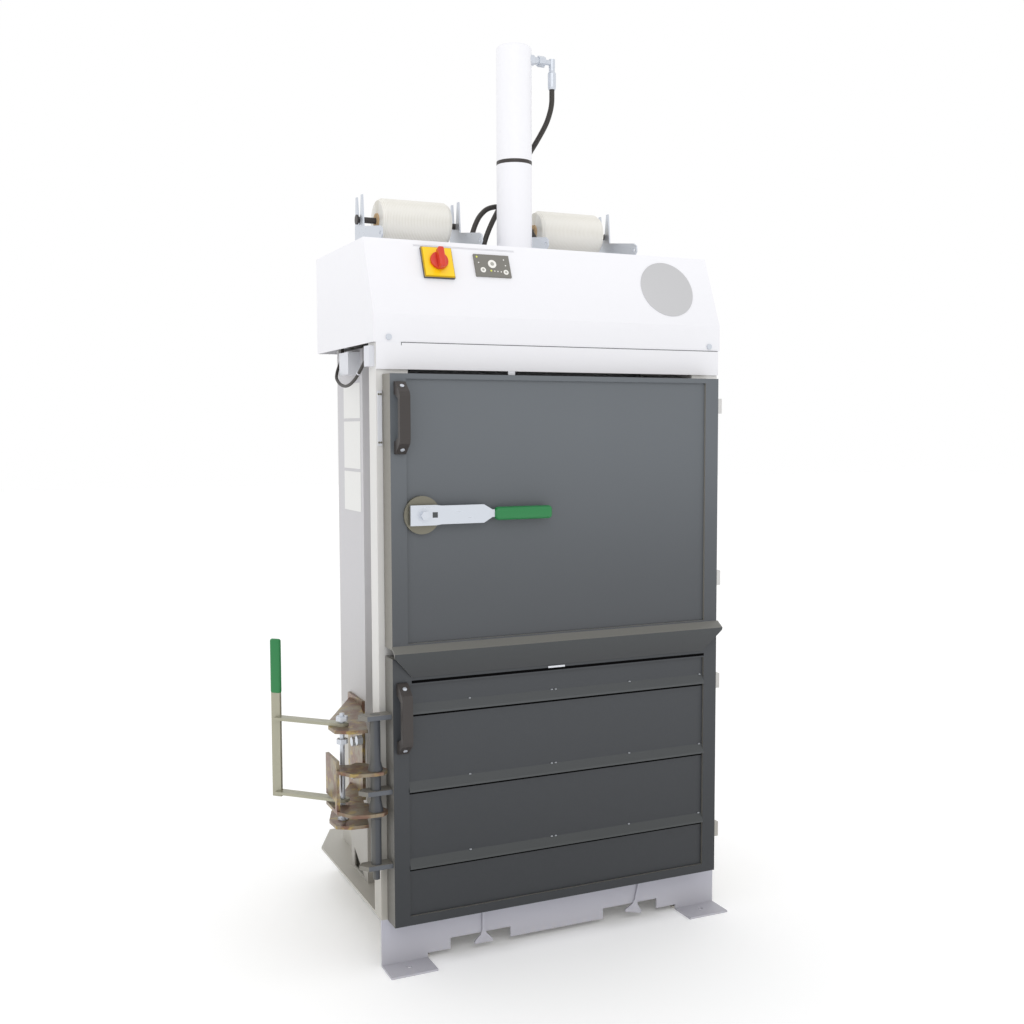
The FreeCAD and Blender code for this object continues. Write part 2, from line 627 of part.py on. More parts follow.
lever_x = -s.lever_out
bracket_top = s.bracket_high + s.claw_plate
back_plate = s.column_in - s.claw_plate
tongue = [(lever_x - 30, s.lever_y - 42), (lever_x + 2, s.lever_y - 62),
          (lever_x + 44, s.lever_y - 66), (back_plate, s.column_front + 20),
          (back_plate, s.column_front + 122), (lever_x - 10, s.lever_y + 70),
          (lever_x - 32, s.lever_y + 8)]
tongue_holes = [(lever_x, s.lever_y, s.lever_pin + s.fit_gap)]
lower_tongue = prism("XY", tongue, s.bracket_low, s.bracket_low + s.claw_plate, tongue_holes)
upper_tongue = prism("XY", tongue, s.bracket_high, bracket_top, tongue_holes)
bracket_back = block((back_plate, s.column_in), (s.column_front + 10, s.column_cut - 10),
                     (s.bracket_low - 10, bracket_top + 12))
node("lock_bracket", fuse(lower_tongue, upper_tongue, bracket_back))

pin_low = s.bracket_low - 16
pivot_bolt = fuse(rod(lever_x, s.lever_y, pin_low, s.lever_pin, bracket_top - pin_low + 30),
                  hexagon(lever_x, s.lever_y, bracket_top + 12, 30, 11),
                  hexagon(lever_x, s.lever_y, s.bracket_low - 13, 30, 12.5),
                  rod(lever_x, s.lever_y, s.bracket_low + s.claw_plate + 0.5, 13, 3),
                  hexagon(lever_x, s.lever_y, s.bracket_high - 36, 28, 12))
node("lever_pivot_bolt", pivot_bolt)

flange_bolts = []
for quarter in range(4):
    angle = math.radians(45 + 90 * quarter)
    flange_bolts.append(hexagon(middle + s.flange_bolt_ring * math.cos(angle),
                                s.ram_y + s.flange_bolt_ring * math.sin(angle),
                                tube_low + s.flange_thick, 24, 11))
bracket_bolts = [hexagon(back_plate, y, z, 26, 14, "-x")
                 for y, z in ((285, 486), (240, 500), (285, 400))]
hood_screws = [rod(x, hood_face, s.body_top + 12, 7, 4, "-y") for x in (31, right - 28)]
node("frame_fasteners", group(*flange_bolts, *bracket_bolts, *hood_screws))

# ---- hinge posts ----------------------------------------------------------------------------------

pin_x = right + s.pin_x_out
lower_hinges = (190, 600)
upper_hinges = (880, s.body_top - 165)
hinge_posts = []
for z in lower_hinges + upper_hinges:
    ear = block((right, pin_x + 10), (s.post_depth - 14, s.pin_y + 12), (z - 14, z))
    stem = rod(pin_x, s.pin_y, z - 1, s.pin_radius, s.knuckle_high + 8)
    hinge_posts.append(fuse(ear, stem))
node("hinge_posts", group(*hinge_posts))


def hinge_arms(heights):
    """Knuckles on the pins, with cranked arms that wrap round the body's front corner."""
    arms = []
    for z in heights:
        low, high = z + s.slide_gap, z + s.knuckle_high
        outer_x = right + 1 + s.arm_thick
        door_right = right - s.door_right_gap
        crank = [(door_right, -s.arm_thick - 4), (outer_x, -s.arm_thick - 4),
                 (outer_x, s.pin_y), (right + 1, s.pin_y), (right + 1, -4), (door_right, -4)]
        arm = prism("XY", crank, low, high)
        eye = rod(pin_x, s.pin_y, low, s.knuckle_radius, high - low)
        bore = rod(pin_x, s.pin_y, low - 1, s.pin_radius + s.fit_gap, high - low + 2)
        arms.append(cut(fuse(arm, eye), bore))
    return group(*arms)


# ---- doors ---------------------------------------------------------------------------------------

door_left, door_right = s.door_in, right - s.door_right_gap
face, back = -s.door_face, -s.door_back


def door_frame(low, high, rail_low, rail_high):
    """Two stiles with rails between them, square ended and welded."""
    stiles = [block(x, (face, back), (low, high))
              for x in ((door_left, door_left + s.stile_width),
                        (door_right - s.stile_width, door_right))]
    inner = (door_left + s.stile_width, door_right - s.stile_width)
    rails = [block(inner, (face, back), (low, rail_low)),
             block(inner, (face, back), (rail_high, high))]
    return group(*stiles, *rails)


def door_sheets(low, high):
    """The recessed front sheet and the smooth sheet on the chamber side."""
    inner = (door_left + s.stile_width, door_right - s.stile_width)
    front = block(inner, (face + s.field_deep, face + s.field_deep + s.door_sheet), (low, high))
    rear = block(inner, (back - s.door_sheet, back), (low, high))
    return group(front, rear)


def bow_handle(top):
    """A moulded bow with two feet, standing on the left stile."""
    low = top - s.handle_long
    out, thick = face - s.handle_out, s.handle_thick
    bow = [(face, low), (face, low + 30), (face - 8, low + 30), (out + thick, low + 40),
           (out + thick, top - 40), (face - 8, top - 30), (face, top - 30), (face, top),
           (face - 8, top), (out + 4, top - 24), (out, top - 34), (out, low + 34),
           (out + 4, low + 24), (face - 8, low)]
    return prism("YZ", bow, s.handle_x - s.handle_wide / 2, s.handle_x + s.handle_wide / 2)


rail_low, rail_high = s.lower_low + 22, s.lower_high - 64
node("lower_door_frame", door_frame(s.lower_low, s.lower_high, rail_low, rail_high))
node("lower_door_sheets", door_sheets(rail_low, rail_high))
field_face = face + s.field_deep
ribs = []
for count in range(3):
    z = s.rib_first - s.rib_pitch * count
    ribs.append(prism("YZ", [(field_face, z), (field_face, z + s.rib_high),
                             (face - 3, z + 5), (face - 3, z)],
                      door_left + s.stile_width, door_right - s.stile_width))
node("lower_door_ribs", group(*ribs))
node("lower_door_handle", bow_handle(s.lower_handle_top))
node("lower_hinge_arms", hinge_arms(lower_hinges))

bar_x, bar_y = -s.bar_out, -s.bar_front
bar_low, bar_high = s.tab_low - s.tab_thick - 26, s.tab_top
bar_profile = [(0, bar_low), (8, bar_low), (8, s.tab_low - s.tab_thick - 1),
               (s.bar_radius, s.tab_low - s.tab_thick - 1), (s.bar_radius, s.claw_low - 10),
               (16, s.claw_low - 6), (16, s.claw_low - s.slide_gap),
               (s.bar_radius, s.claw_low - s.slide_gap),
               (s.bar_radius, s.claw_low + s.claw_plate + s.slide_gap),
               (18, s.claw_low + s.claw_plate + s.slide_gap), (s.bar_radius, s.tab_mid - 24),
               (s.bar_radius, s.claw_high + s.claw_plate + s.slide_gap),
               (18, s.claw_high + s.claw_plate + s.slide_gap),
               (s.bar_radius, s.claw_high + s.claw_plate + 22), (s.bar_radius, bar_high),
               (0, bar_high)]
node("door_bar", turned(bar_x, bar_y, 0, bar_profile))
tabs = []
for top in (s.tab_top, s.tab_mid, s.tab_low):
    tab = [(door_left, bar_y - 18), (door_left, bar_y + 20), (bar_x - 30, bar_y + 20),
           (bar_x - 41, bar_y + 4), (bar_x - 24, bar_y - 18)]
    tabs.append(prism("XY", tab, top - s.tab_thick, top,
                      [(bar_x, bar_y, s.bar_radius + s.fit_gap)]))
node("door_bar_tabs", group(*tabs))

upper_rail_low, upper_rail_high = s.upper_low + 12, s.upper_high - 12
node("upper_door_frame", door_frame(s.upper_low, s.upper_high, upper_rail_low, upper_rail_high))
node("upper_door_sheets", door_sheets(upper_rail_low, upper_rail_high))
lip_back = face - 1.5
lip_profile = [(face, s.upper_low + 4), (face, s.upper_low + 8), (-s.lip_out, s.lip_high),
               (lip_back - 2.5, s.lip_low), (lip_back, s.lip_low),
               (-s.lip_out + 5, s.lip_high - 2)]
lip_bar = prism("YZ", lip_profile, s.door_in - 2, right - s.door_right_gap + 4)
lip_trims = [prism("XZ", [(x, s.lip_low - 1), (x + side * s.lip_end, s.lip_low - 1),
                          (x, s.lip_high - 6)], -s.lip_out - 1, face + 1)
             for x, side in ((s.door_in - 3, 1), (right - s.door_right_gap + 5, -1))]
node("upper_door_lip", cut(lip_bar, *lip_trims))
node("upper_door_handle", bow_handle(s.upper_handle_top))
node("upper_hinge_arms", hinge_arms(upper_hinges))
latch_seat = turned(s.latch_x, field_face, s.latch_z, [(0, 0), (s.latch_disc, 0),
                                                       (s.latch_disc, 11), (0, 11)], "-y")
stile_clear = block((0, door_left + s.stile_width), (face, 0), (s.latch_z - 60, s.latch_z + 60))
node("latch_disc", cut(latch_seat, stile_clear))

plate_y = face - 12
latch_lever = fuse(
    prism("XZ", [(s.latch_x - 33, s.latch_z - 24), (s.latch_x + 30, s.latch_z - 24),
                 (s.latch_x + 44, s.latch_z - 22), (s.latch_x + 152, s.latch_z - 22),
                 (s.latch_x + 174, s.latch_z - 9), (s.latch_x + 180, s.latch_z - 9),
                 (s.latch_x + 180, s.latch_z + 9), (s.latch_x + 174, s.latch_z + 9),
                 (s.latch_x + 152, s.latch_z + 22), (s.latch_x + 44, s.latch_z + 22),
                 (s.latch_x + 30, s.latch_z + 24), (s.latch_x - 33, s.latch_z + 24)],
          plate_y - 6, plate_y),
    rod(s.latch_x, plate_y + 7, s.latch_z, 12, 10, "-y"),
    block((s.latch_x + 175, s.latch_x + 330), (plate_y - 5, plate_y - 1),
          (s.latch_z - 8, s.latch_z + 8)))
latch_head = fuse(rod(s.latch_x, plate_y - 6, s.latch_z, 14, 3, "-y"),
                  hexagon(s.latch_x, plate_y - 9, s.latch_z, 22, 8, "-y"))
node("latch_lever", group(latch_lever, latch_head))
grip_start = s.latch_x + 180
grip_outline = [(grip_start, s.latch_z - 15), (s.latch_x + 322, s.latch_z - 17),
                (s.latch_x + 332, s.latch_z - 8), (s.latch_x + 332, s.latch_z + 8),
                (s.latch_x + 322, s.latch_z + 15), (grip_start, s.latch_z + 15)]
grip_body = prism("XZ", grip_outline, plate_y - 15, plate_y + 8)
grip_slot = block((s.latch_x + 170, s.latch_x + 330), (plate_y - 5, plate_y - 1),
                  (s.latch_z - 8, s.latch_z + 8))
node("latch_grip", cut(grip_body, grip_slot))

# ---- claw and lock lever -----------------------------------------------------------------------

claw_outline = [
    (bar_x + 12, bar_y - 26), (bar_x + 26, bar_y - 12), (bar_x + 29, bar_y),
    (bar_x + 24, bar_y + 16), (bar_x - 6, bar_y + 70), (bar_x - 24, bar_y + 80),
    (lever_x + 14, s.lever_y - 22), (lever_x - 12, s.lever_y - 14), (lever_x - 15, s.lever_y + 16),
    (lever_x - 24, s.lever_y + 34), (lever_x - 32, s.lever_y + 34), (lever_x - 32, s.lever_y - 60),
    (bar_x - 60, bar_y - 14), (bar_x - 30, bar_y - 24), (bar_x - 12, bar_y - 26)]
eye_hole = [(bar_x, bar_y, s.bar_radius + s.fit_gap)]
claw_web_low = s.claw_low + s.claw_plate
claw_web = fuse(
    block((lever_x - 32, lever_x - 24), (s.lever_y - 58, s.lever_y - 44),
          (claw_web_low - 1, s.claw_high + 1)),
    block((lever_x - 32, lever_x - 24), (s.lever_y - 58, s.lever_y + 34),
          (claw_web_low + 20, s.claw_high + s.claw_plate + 22)))
node("lock_claw", fuse(
    prism("XY", claw_outline, s.claw_low, claw_web_low, eye_hole),
    prism("XY", claw_outline, s.claw_high, s.claw_high + s.claw_plate, eye_hole), claw_web))

arm_length = math.hypot(s.lever_arm_x.value, s.lever_arm_y.value)
arm_turn = Rotation(Vector(0, 0, 1), math.degrees(math.atan2(s.lever_arm_y.value,
                                                             -s.lever_arm_x.value)))


def along_arm(start, stop, low, high, width):
    """A flat bar along the lever's arm, from the pivot outwards."""
    bar = doc.addObject("Part::Box", "arm")
    bar.Length = stop - start
    bind(bar, "Width", width)
    bind(bar, "Height", as_size(high) - low)
    reach = start / arm_length
    side = Size(0.5) * width / arm_length
    return place(bar, lever_x - s.lever_arm_x * reach + s.lever_arm_y * side,
                 s.lever_y + s.lever_arm_y * reach + s.lever_arm_x * side, low, arm_turn)


def lever_arm(low):
    """One flat arm with its eye round the pivot bolt."""
    eye = rod(lever_x, s.lever_y, low, 16, 7)
    bore = rod(lever_x, s.lever_y, low - 1, s.lever_pin + s.fit_gap, 9)
    return cut(fuse(along_arm(0, arm_length, low, low + 7, s.lever_width), eye), bore)


lever_grip_low = 655
upper_arm_low = bracket_top + s.slide_gap
lower_arm_low = s.claw_low + s.claw_plate + 5
upright = along_arm(arm_length - 12, arm_length + 12, 398, lever_grip_low + 100, 8)
node("lock_lever", fuse(lever_arm(upper_arm_low), lever_arm(lower_arm_low), upright))
grip_shell = cut(along_arm(arm_length - 14, arm_length + 14, lever_grip_low, 790, 13),
                 along_arm(arm_length - 12, arm_length + 12, lever_grip_low - 1,
                           lever_grip_low + 100, 8))
node("lock_lever_grip", grip_shell)

# ---- check and write -----------------------------------------------------------------------------

doc.recompute()
for thing in doc.Objects:
    if "Invalid" in thing.State or "Error" in thing.State:
        raise RuntimeError(f"{thing.Name} ({thing.Label}) failed: {thing.State}")
for piece in nodes:
    if piece.Shape.isNull() or not piece.Shape.isValid():
        raise RuntimeError(f"{piece.Label} has no valid shape")
os.makedirs("parts", exist_ok=True)
for piece in nodes:
    piece.Shape.exportStep(f"parts/{piece.Label}.step")
print(len(nodes), "nodes")
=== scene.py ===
import math

import bmesh
import bpy
from mathutils import Matrix, Vector


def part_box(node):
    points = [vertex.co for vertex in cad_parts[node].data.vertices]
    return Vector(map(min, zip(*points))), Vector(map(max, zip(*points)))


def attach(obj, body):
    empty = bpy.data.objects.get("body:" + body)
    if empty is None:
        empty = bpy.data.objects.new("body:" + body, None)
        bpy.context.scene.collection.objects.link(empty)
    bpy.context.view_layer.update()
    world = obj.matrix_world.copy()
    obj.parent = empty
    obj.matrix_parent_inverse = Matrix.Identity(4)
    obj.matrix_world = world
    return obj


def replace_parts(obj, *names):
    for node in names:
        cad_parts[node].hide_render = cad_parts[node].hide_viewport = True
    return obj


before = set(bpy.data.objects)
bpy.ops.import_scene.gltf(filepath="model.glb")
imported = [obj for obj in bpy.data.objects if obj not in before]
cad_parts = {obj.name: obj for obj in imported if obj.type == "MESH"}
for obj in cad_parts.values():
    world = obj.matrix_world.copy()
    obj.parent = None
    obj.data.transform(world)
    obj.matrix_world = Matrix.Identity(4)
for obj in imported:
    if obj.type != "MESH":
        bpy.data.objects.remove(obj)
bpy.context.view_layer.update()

# ---- studio ---------------------------------------------------------------------------------
# A pale floor and soft white light from all round, with a large key lamp in front and above,
# as in a catalogue studio.  The viewer stands in front of the machine, to its left.


def tone(red, green, blue):
    """A paint chip's screen values as the linear colour that shaders take."""
    return tuple(((c / 255 + 0.055) / 1.055) ** 2.4 if c > 10 else c / 3295
                 for c in (red, green, blue))


camera_data = bpy.data.cameras.new("studio_camera")
camera = bpy.data.objects.new("studio_camera", camera_data)
bpy.context.scene.collection.objects.link(camera)
bpy.context.scene.camera = camera
camera_data.lens = 41.77
camera_data.sensor_width = 36
camera_data.clip_end = 60
turn, tilt, roll = (math.radians(angle) for angle in (24.43, -3.95, -0.17))
ahead = Vector((math.sin(turn) * math.cos(tilt), math.cos(turn) * math.cos(tilt), math.sin(tilt)))
across = Vector((math.cos(turn), -math.sin(turn), 0))
above = across.cross(ahead)
camera.matrix_world = (Matrix.Translation((-1.3415, -2.6447, 1.2985))
                       @ Matrix((across, above, -ahead)).transposed().to_4x4()
                       @ Matrix.Rotation(roll, 4, "Z"))

world = bpy.data.worlds.new("studio_air")
bpy.context.scene.world = world
world.use_nodes = True
world.node_tree.nodes["Background"].inputs["Color"].default_value = (1, 1, 1, 1)
world.node_tree.nodes["Background"].inputs["Strength"].default_value = 1.0
bpy.context.scene.view_settings.view_transform = "Standard"

for name, spot, width, power in (("key_lamp", (-1.6, -4.2, 4.2), 3.0, 34),
                                 ("side_lamp", (-4.5, 0.4, 2.6), 2.5, 5)):
    lamp_data = bpy.data.lights.new(name, "AREA")
    lamp_data.shape = "DISK"
    lamp_data.size = width
    lamp_data.energy = power
    lamp = bpy.data.objects.new(name, lamp_data)
    bpy.context.scene.collection.objects.link(lamp)
    lamp.location = spot
    aim = Vector((0, 0.2, 1.1)) - lamp.location
    lamp.rotation_euler = aim.to_track_quat("-Z", "Y").to_euler()


class Field:
    """A number that varies over a surface, with plain arithmetic on it."""

    def __init__(self, finish, socket):
        self.finish, self.socket = finish, socket

    def maths(self, operation, *terms):
        return self.finish.node("ShaderNodeMath", {"operation": operation},
                                dict(enumerate(terms)))

    def __add__(self, other):
        return self.maths("ADD", self, other)

    def __sub__(self, other):
        return self.maths("SUBTRACT", self, other)

    def __mul__(self, other):
        return self.maths("MULTIPLY", self, other)


class Finish:
    """A surface finish: one shader, with what varies over the surface wired into it."""

    def __init__(self, name, colour, roughness, metallic=0.0, coat=0.0):
        self.material = bpy.data.materials.new(name)
        self.material.use_nodes = True
        self.tree = self.material.node_tree
        self.shader = self.tree.nodes["Principled BSDF"]
        self.feed("Base Color", (*colour, 1))
        self.feed("Roughness", roughness)
        self.feed("Metallic", metallic)
        self.feed("Coat Weight", coat)

    def node(self, kind, settings, inputs, output=0):
        made = self.tree.nodes.new(kind)
        for key, setting in settings.items():
            setattr(made, key, setting)
        for key, value in inputs.items():
            if isinstance(value, Field):
                self.tree.links.new(value.socket, made.inputs[key])
            else:
                made.inputs[key].default_value = value
        return Field(self, made.outputs[output])

    def feed(self, name, value):
        if isinstance(value, Field):
            self.tree.links.new(value.socket, self.shader.inputs[name])
        else:
            self.shader.inputs[name].default_value = value

    def spot(self):
        return self.node("ShaderNodeTexCoord", {}, {}, "Object")

    def facing(self, axis):
        """How far the surface faces along one of its own axes, from -1 to 1."""
        way = self.node("ShaderNodeTexCoord", {}, {}, "Normal")
        return self.node("ShaderNodeSeparateXYZ", {}, {0: way}, axis)

    def along(self, axis):
        return self.node("ShaderNodeSeparateXYZ", {}, {0: self.spot()}, axis)

    def noise(self, scale, detail=3.0, stretch=(1, 1, 1)):
        where = self.node("ShaderNodeMapping", {}, {"Vector": self.spot(), "Scale": stretch})
        return self.node("ShaderNodeTexNoise", {},
                         {"Vector": where, "Scale": scale, "Detail": detail})

    def ramp(self, value, low, high):
        """0 below low, 1 above high, smooth between."""
        return self.node("ShaderNodeMapRange", {"interpolation_type": "SMOOTHSTEP"},
                         {"Value": value, "From Min": low, "From Max": high})

    def blend(self, share, first, second):
        colours = [c if isinstance(c, Field) else (*c, 1) for c in (first, second)]
        return self.node("ShaderNodeMix", {"data_type": "RGBA"},
                         {0: share, 6: colours[0], 7: colours[1]}, 2)

    def bump(self, height, depth, strength=1.0):
        self.feed("Normal", self.node("ShaderNodeBump", {}, {
            "Height": height, "Distance": depth, "Strength": strength}))


floor_finish = Finish("studio_floor", (0.97, 0.97, 0.97), 0.9)
floor_finish.feed("Emission Color", (1, 1, 1, 1))
floor_finish.feed("Emission Strength", 0.1)
floor_bm = bmesh.new()
bmesh.ops.create_grid(floor_bm, x_segments=1, y_segments=1, size=25)
floor_mesh = bpy.data.meshes.new("studio_floor")
floor_bm.to_mesh(floor_mesh)
floor_bm.free()
floor = bpy.data.objects.new("studio_floor", floor_mesh)
floor_mesh.materials.append(floor_finish.material)
bpy.context.scene.collection.objects.link(floor)

# ---- welded frame ---------------------------------------------------------------------------
# Folded and welded sheet steel, powder coated off-white.  The coat has a fine orange-peel,
# and its colour is darkened towards the floor as painted shade.


def powder_coat(name, low_tone, high_tone, low, high, rough=0.5, peel=0.00025):
    """Powder coat darkened as painted shade from the height high down to low."""
    coat = Finish(name, high_tone, rough)
    height = coat.along("Z")
    # painted shade: the colour darkens from the height high down to low
    height_shade = coat.blend(coat.ramp(height, low, high), low_tone, high_tone)
    cloud = coat.noise(3.5, 5) * 0.05 + coat.noise(45, 3) * 0.03
    coat.feed("Base Color", coat.blend(cloud, height_shade, tuple(c * 0.55 for c in high_tone)))
    coat.feed("Roughness", coat.noise(120, 2) * 0.14 + (rough - 0.07))
    coat.bump(coat.noise(420, 2), peel, 0.35)
    return coat


def coat_nodes(finish, *names):
    """Puts a finish on parts of the frame that keep their own shape."""
    for name in names:
        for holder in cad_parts[name].material_slots:
            holder.material = finish.material


frame_paint = powder_coat("frame_paint", tone(176, 173, 165), tone(216, 215, 213), 0.12, 0.95)
# the columns take a darker copy of the frame's coat as painted shade
column_shaded_paint = powder_coat("column_shaded_paint", tone(162, 159, 152), tone(195, 194, 197), 0.12,
                           0.95)
# the sill and strap hooks take a darker, bluish copy of the coat as painted shade
sill_shaded_paint = powder_coat("sill_shaded_paint", tone(178, 177, 184), tone(184, 184, 195), 0.0, 0.12)
# the hood, header and cylinder take a lighter copy of the coat as painted light, lightest at the
# top
hood_lit_paint = powder_coat("hood_lit_paint", tone(232, 232, 236), tone(239, 239, 243), 1.45, 1.8)
coat_nodes(frame_paint, "rear_sill", "under_rails", "base_deck", "left_front_post",
           "right_front_post", "left_side_wall", "right_side_wall",
           "rear_wall", "crosshead_beam", "hinge_posts", "oil_tank",
           "lower_hinge_arms", "upper_hinge_arms")
coat_nodes(column_shaded_paint, "left_column", "right_column")
coat_nodes(sill_shaded_paint, "front_sill", "strap_hooks")
coat_nodes(hood_lit_paint, "hood", "header_panel", "cylinder_tube", "cylinder_flange")

# ---- plain steel inside ---------------------------------------------------------------------
# The floor plate, press plate and pump parts are left as rolled steel, scuffed by the bales.

plate_steel = Finish("plate_steel", (0.28, 0.28, 0.29), 0.42, 0.85)
scuff = plate_steel.noise(160, 4, (0.06, 1, 1))
plate_steel.feed("Base Color", plate_steel.blend(scuff, (0.17, 0.17, 0.18), (0.38, 0.38, 0.39)))
plate_steel.feed("Roughness", scuff * 0.3 + 0.28)
plate_steel.bump(scuff, 0.0002, 0.4)
coat_nodes(plate_steel, "floor_plate", "press_plate", "press_plate_ribs", "cylinder_gland",
           "valve_block")
rod_chrome = Finish("rod_chrome", (0.75, 0.76, 0.78), 0.08, 1.0)
rod_chrome.feed("Roughness", rod_chrome.noise(300, 2, (1, 1, 0.02)) * 0.08 + 0.05)
coat_nodes(rod_chrome, "piston_rod")
motor_black = Finish("motor_black", (0.02, 0.02, 0.022), 0.5)
motor_black.bump(motor_black.noise(500, 2), 0.0002, 0.4)
coat_nodes(motor_black, "pump_motor")

# ---- doors ----------------------------------------------------------------------------------
# Square tube frames with a recessed sheet, powder coated blue-grey.  The coat is satin, and the
# lower door reads darker than the upper one.  Each coat is darkened towards the bottom as painted
# shade, and the faces that face left or up take a painted tone of their own.


def door_coat(name, low_tone, high_tone, low, high, painted_face_tone):
    """The doors' coat, darkened towards the bottom as painted shade, with a painted tone on faces
    that face left or up.
    """
    coat = Finish(name, high_tone, 0.46)
    # painted shade: darker from the height high down to low
    height_shade = coat.blend(coat.ramp(coat.along("Z"), low, high), low_tone, high_tone)
    cloud = coat.blend(coat.noise(5, 5) * 0.22, height_shade, tuple(c * 0.7 for c in high_tone))
    # faces that face left or up take the last tone: painted light on most coats, painted shade on
    # the ribs
    edges = coat.facing("X") * -1
    painted_face_share = edges.maths("MAXIMUM", edges, coat.facing("Z") * 0.8)
    coat.feed("Base Color", coat.blend(coat.ramp(painted_face_share, 0.2, 0.8), cloud, painted_face_tone))
    coat.feed("Roughness", coat.noise(120, 2) * 0.16 + 0.36)
    coat.bump(coat.noise(420, 2), 0.00025, 0.35)
    return coat


upper_paint = door_coat("upper_door_paint", tone(70, 73, 77), tone(97, 102, 107), 0.78, 1.35,
                        tone(128, 125, 118))
lower_paint = door_coat("lower_door_paint", tone(38, 41, 45), tone(58, 61, 65), 0.12, 0.72,
                        tone(104, 102, 97))
# the ribs take a lighter copy of the lower door's coat as painted light, with painted shade on
# their upward faces
rib_light_shade_paint = door_coat("rib_light_shade_paint", tone(60, 63, 64), tone(70, 73, 75), 0.2, 0.65,
                      tone(12, 13, 14))
# the lip takes a darker copy of the upper door's coat as painted shade, with painted light on its
# upward faces
lip_shade_paint = door_coat("lip_shade_paint", tone(54, 56, 58), tone(60, 63, 65), 0.71, 0.78,
                      tone(116, 115, 110))
bar_paint = door_coat("lock_bar_paint", tone(62, 65, 70), tone(70, 73, 79), 0.2, 0.6,
                      tone(84, 84, 82))
tab_paint = door_coat("bar_tab_paint", tone(84, 88, 94), tone(92, 96, 103), 0.2, 0.6,
                      tone(118, 115, 108))
coat_nodes(upper_paint, "upper_door_frame", "upper_door_sheets")
coat_nodes(lower_paint, "lower_door_frame", "lower_door_sheets")
coat_nodes(rib_light_shade_paint, "lower_door_ribs")
coat_nodes(bar_paint, "door_bar")
coat_nodes(tab_paint, "door_bar_tabs")
coat_nodes(lip_shade_paint, "upper_door_lip")

# ---- handles --------------------------------------------------------------------------------
# Moulded black bow handles, each held by a pan-head screw in either foot.

moulded_black = Finish("moulded_black", tone(54, 49, 47), 0.42)
grain = moulded_black.noise(700, 3)
moulded_black.feed("Roughness", grain * 0.2 + 0.36)
moulded_black.bump(grain, 0.0002, 0.5)
coat_nodes(moulded_black, "upper_door_handle", "lower_door_handle")

zinc = Finish("zinc_plate", tone(170, 160, 136), 0.32, 0.55)
veil = zinc.ramp(zinc.noise(26, 4), 0.38, 0.62)
sheen = zinc.blend(veil, tone(140, 130, 110), tone(120, 92, 78))
straw = zinc.blend(zinc.ramp(zinc.noise(44, 3), 0.52, 0.68), sheen, tone(160, 140, 88))
burnt = zinc.ramp(zinc.noise(70, 4, (1, 1, 0.5)), 0.6, 0.72)
zinc.feed("Base Color", zinc.blend(burnt * 0.6, straw, tone(104, 84, 66)))
zinc.feed("Roughness", zinc.noise(260, 2) * 0.22 + 0.22)
zinc.bump(zinc.noise(600, 2), 0.0001, 0.3)
bright_zinc = Finish("bright_zinc", tone(205, 210, 218), 0.3, 0.55)
bright_zinc.feed("Roughness", bright_zinc.noise(200, 3, (0.1, 1, 1)) * 0.25 + 0.2)


def station(x, y, z):
    """Millimetres from the left face, back from the front sheet and up, as a place."""
    return Vector(((x - 475) / 1000, (y + 31) / 1000, z / 1000))


def join(bm, shape):
    """Adds a finished shape to a mesh in hand."""
    carrier = bpy.data.meshes.new("carrier")
    shape.to_mesh(carrier)
    shape.free()
    bm.from_mesh(carrier)
    bpy.data.meshes.remove(carrier)


def add_bar(bm, low, high, soft=0.001):
    """A bar between two stations, its edges rounded."""
    low, high = station(*low), station(*high)
    size = high - low
    bar = bmesh.new()
    bmesh.ops.create_cube(bar, size=1, matrix=Matrix.Translation((low + high) / 2)
                          @ Matrix.Diagonal((*size, 1)))
    if soft:
        bmesh.ops.bevel(bar, geom=bar.edges[:], offset=min(soft, min(size) * 0.4), segments=2,
                        profile=0.5, affect="EDGES", material=-1)
    join(bm, bar)


def add_round(bm, spot, along, radius, length, soft=0.0008, sides=32):
    """A round or many-sided stud that starts at a spot and runs along a direction."""
    along = Vector(along).normalized()
    where = (Matrix.Translation(Vector(spot) + along * length / 2)
             @ Vector((0, 0, 1)).rotation_difference(along).to_matrix().to_4x4())
    stud = bmesh.new()
    bmesh.ops.create_cone(stud, cap_ends=True, segments=sides, radius1=radius, radius2=radius,
                          depth=length, matrix=where)
    rims = [edge for edge in stud.edges if any(len(face.verts) > 4 for face in edge.link_faces)]
    bmesh.ops.bevel(stud, geom=rims, offset=soft, segments=2, profile=0.5, affect="EDGES",
                    material=-1)
    join(bm, stud)


def finish_piece(bm, name, finish, body):
    """Turns a mesh in hand into a piece that rides on a body."""
    for face in bm.faces:
        face.smooth = True
    for edge in bm.edges:
        edge.smooth = edge.calc_face_angle(0) < 0.7
    mesh = bpy.data.meshes.new(name)
    bm.to_mesh(mesh)
    bm.free()
    mesh.materials.append(finish.material)
    made = bpy.data.objects.new(name, mesh)
    bpy.context.scene.collection.objects.link(made)
    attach(made, body)
    return made


handle_x, foot_y = 37, -78.4
for door, handle_top in (("upper_door", 1411), ("lower_door", 706)):
    screws = bmesh.new()
    for z, lean in ((handle_top - 11, 1), (handle_top - 157, -1)):
        add_round(screws, station(handle_x, foot_y, z), (0, -0.625, 0.78 * lean), 0.0052, 0.0022,
                  0.0007, 28)
    finish_piece(screws, door + "_handle_screws", bright_zinc, door)

# ---- twine ----------------------------------------------------------------------------------
# Two reels of white twine, cross-wound on beige card cores, on black discs and steel rods in
# zinc-plated forks on the hood.

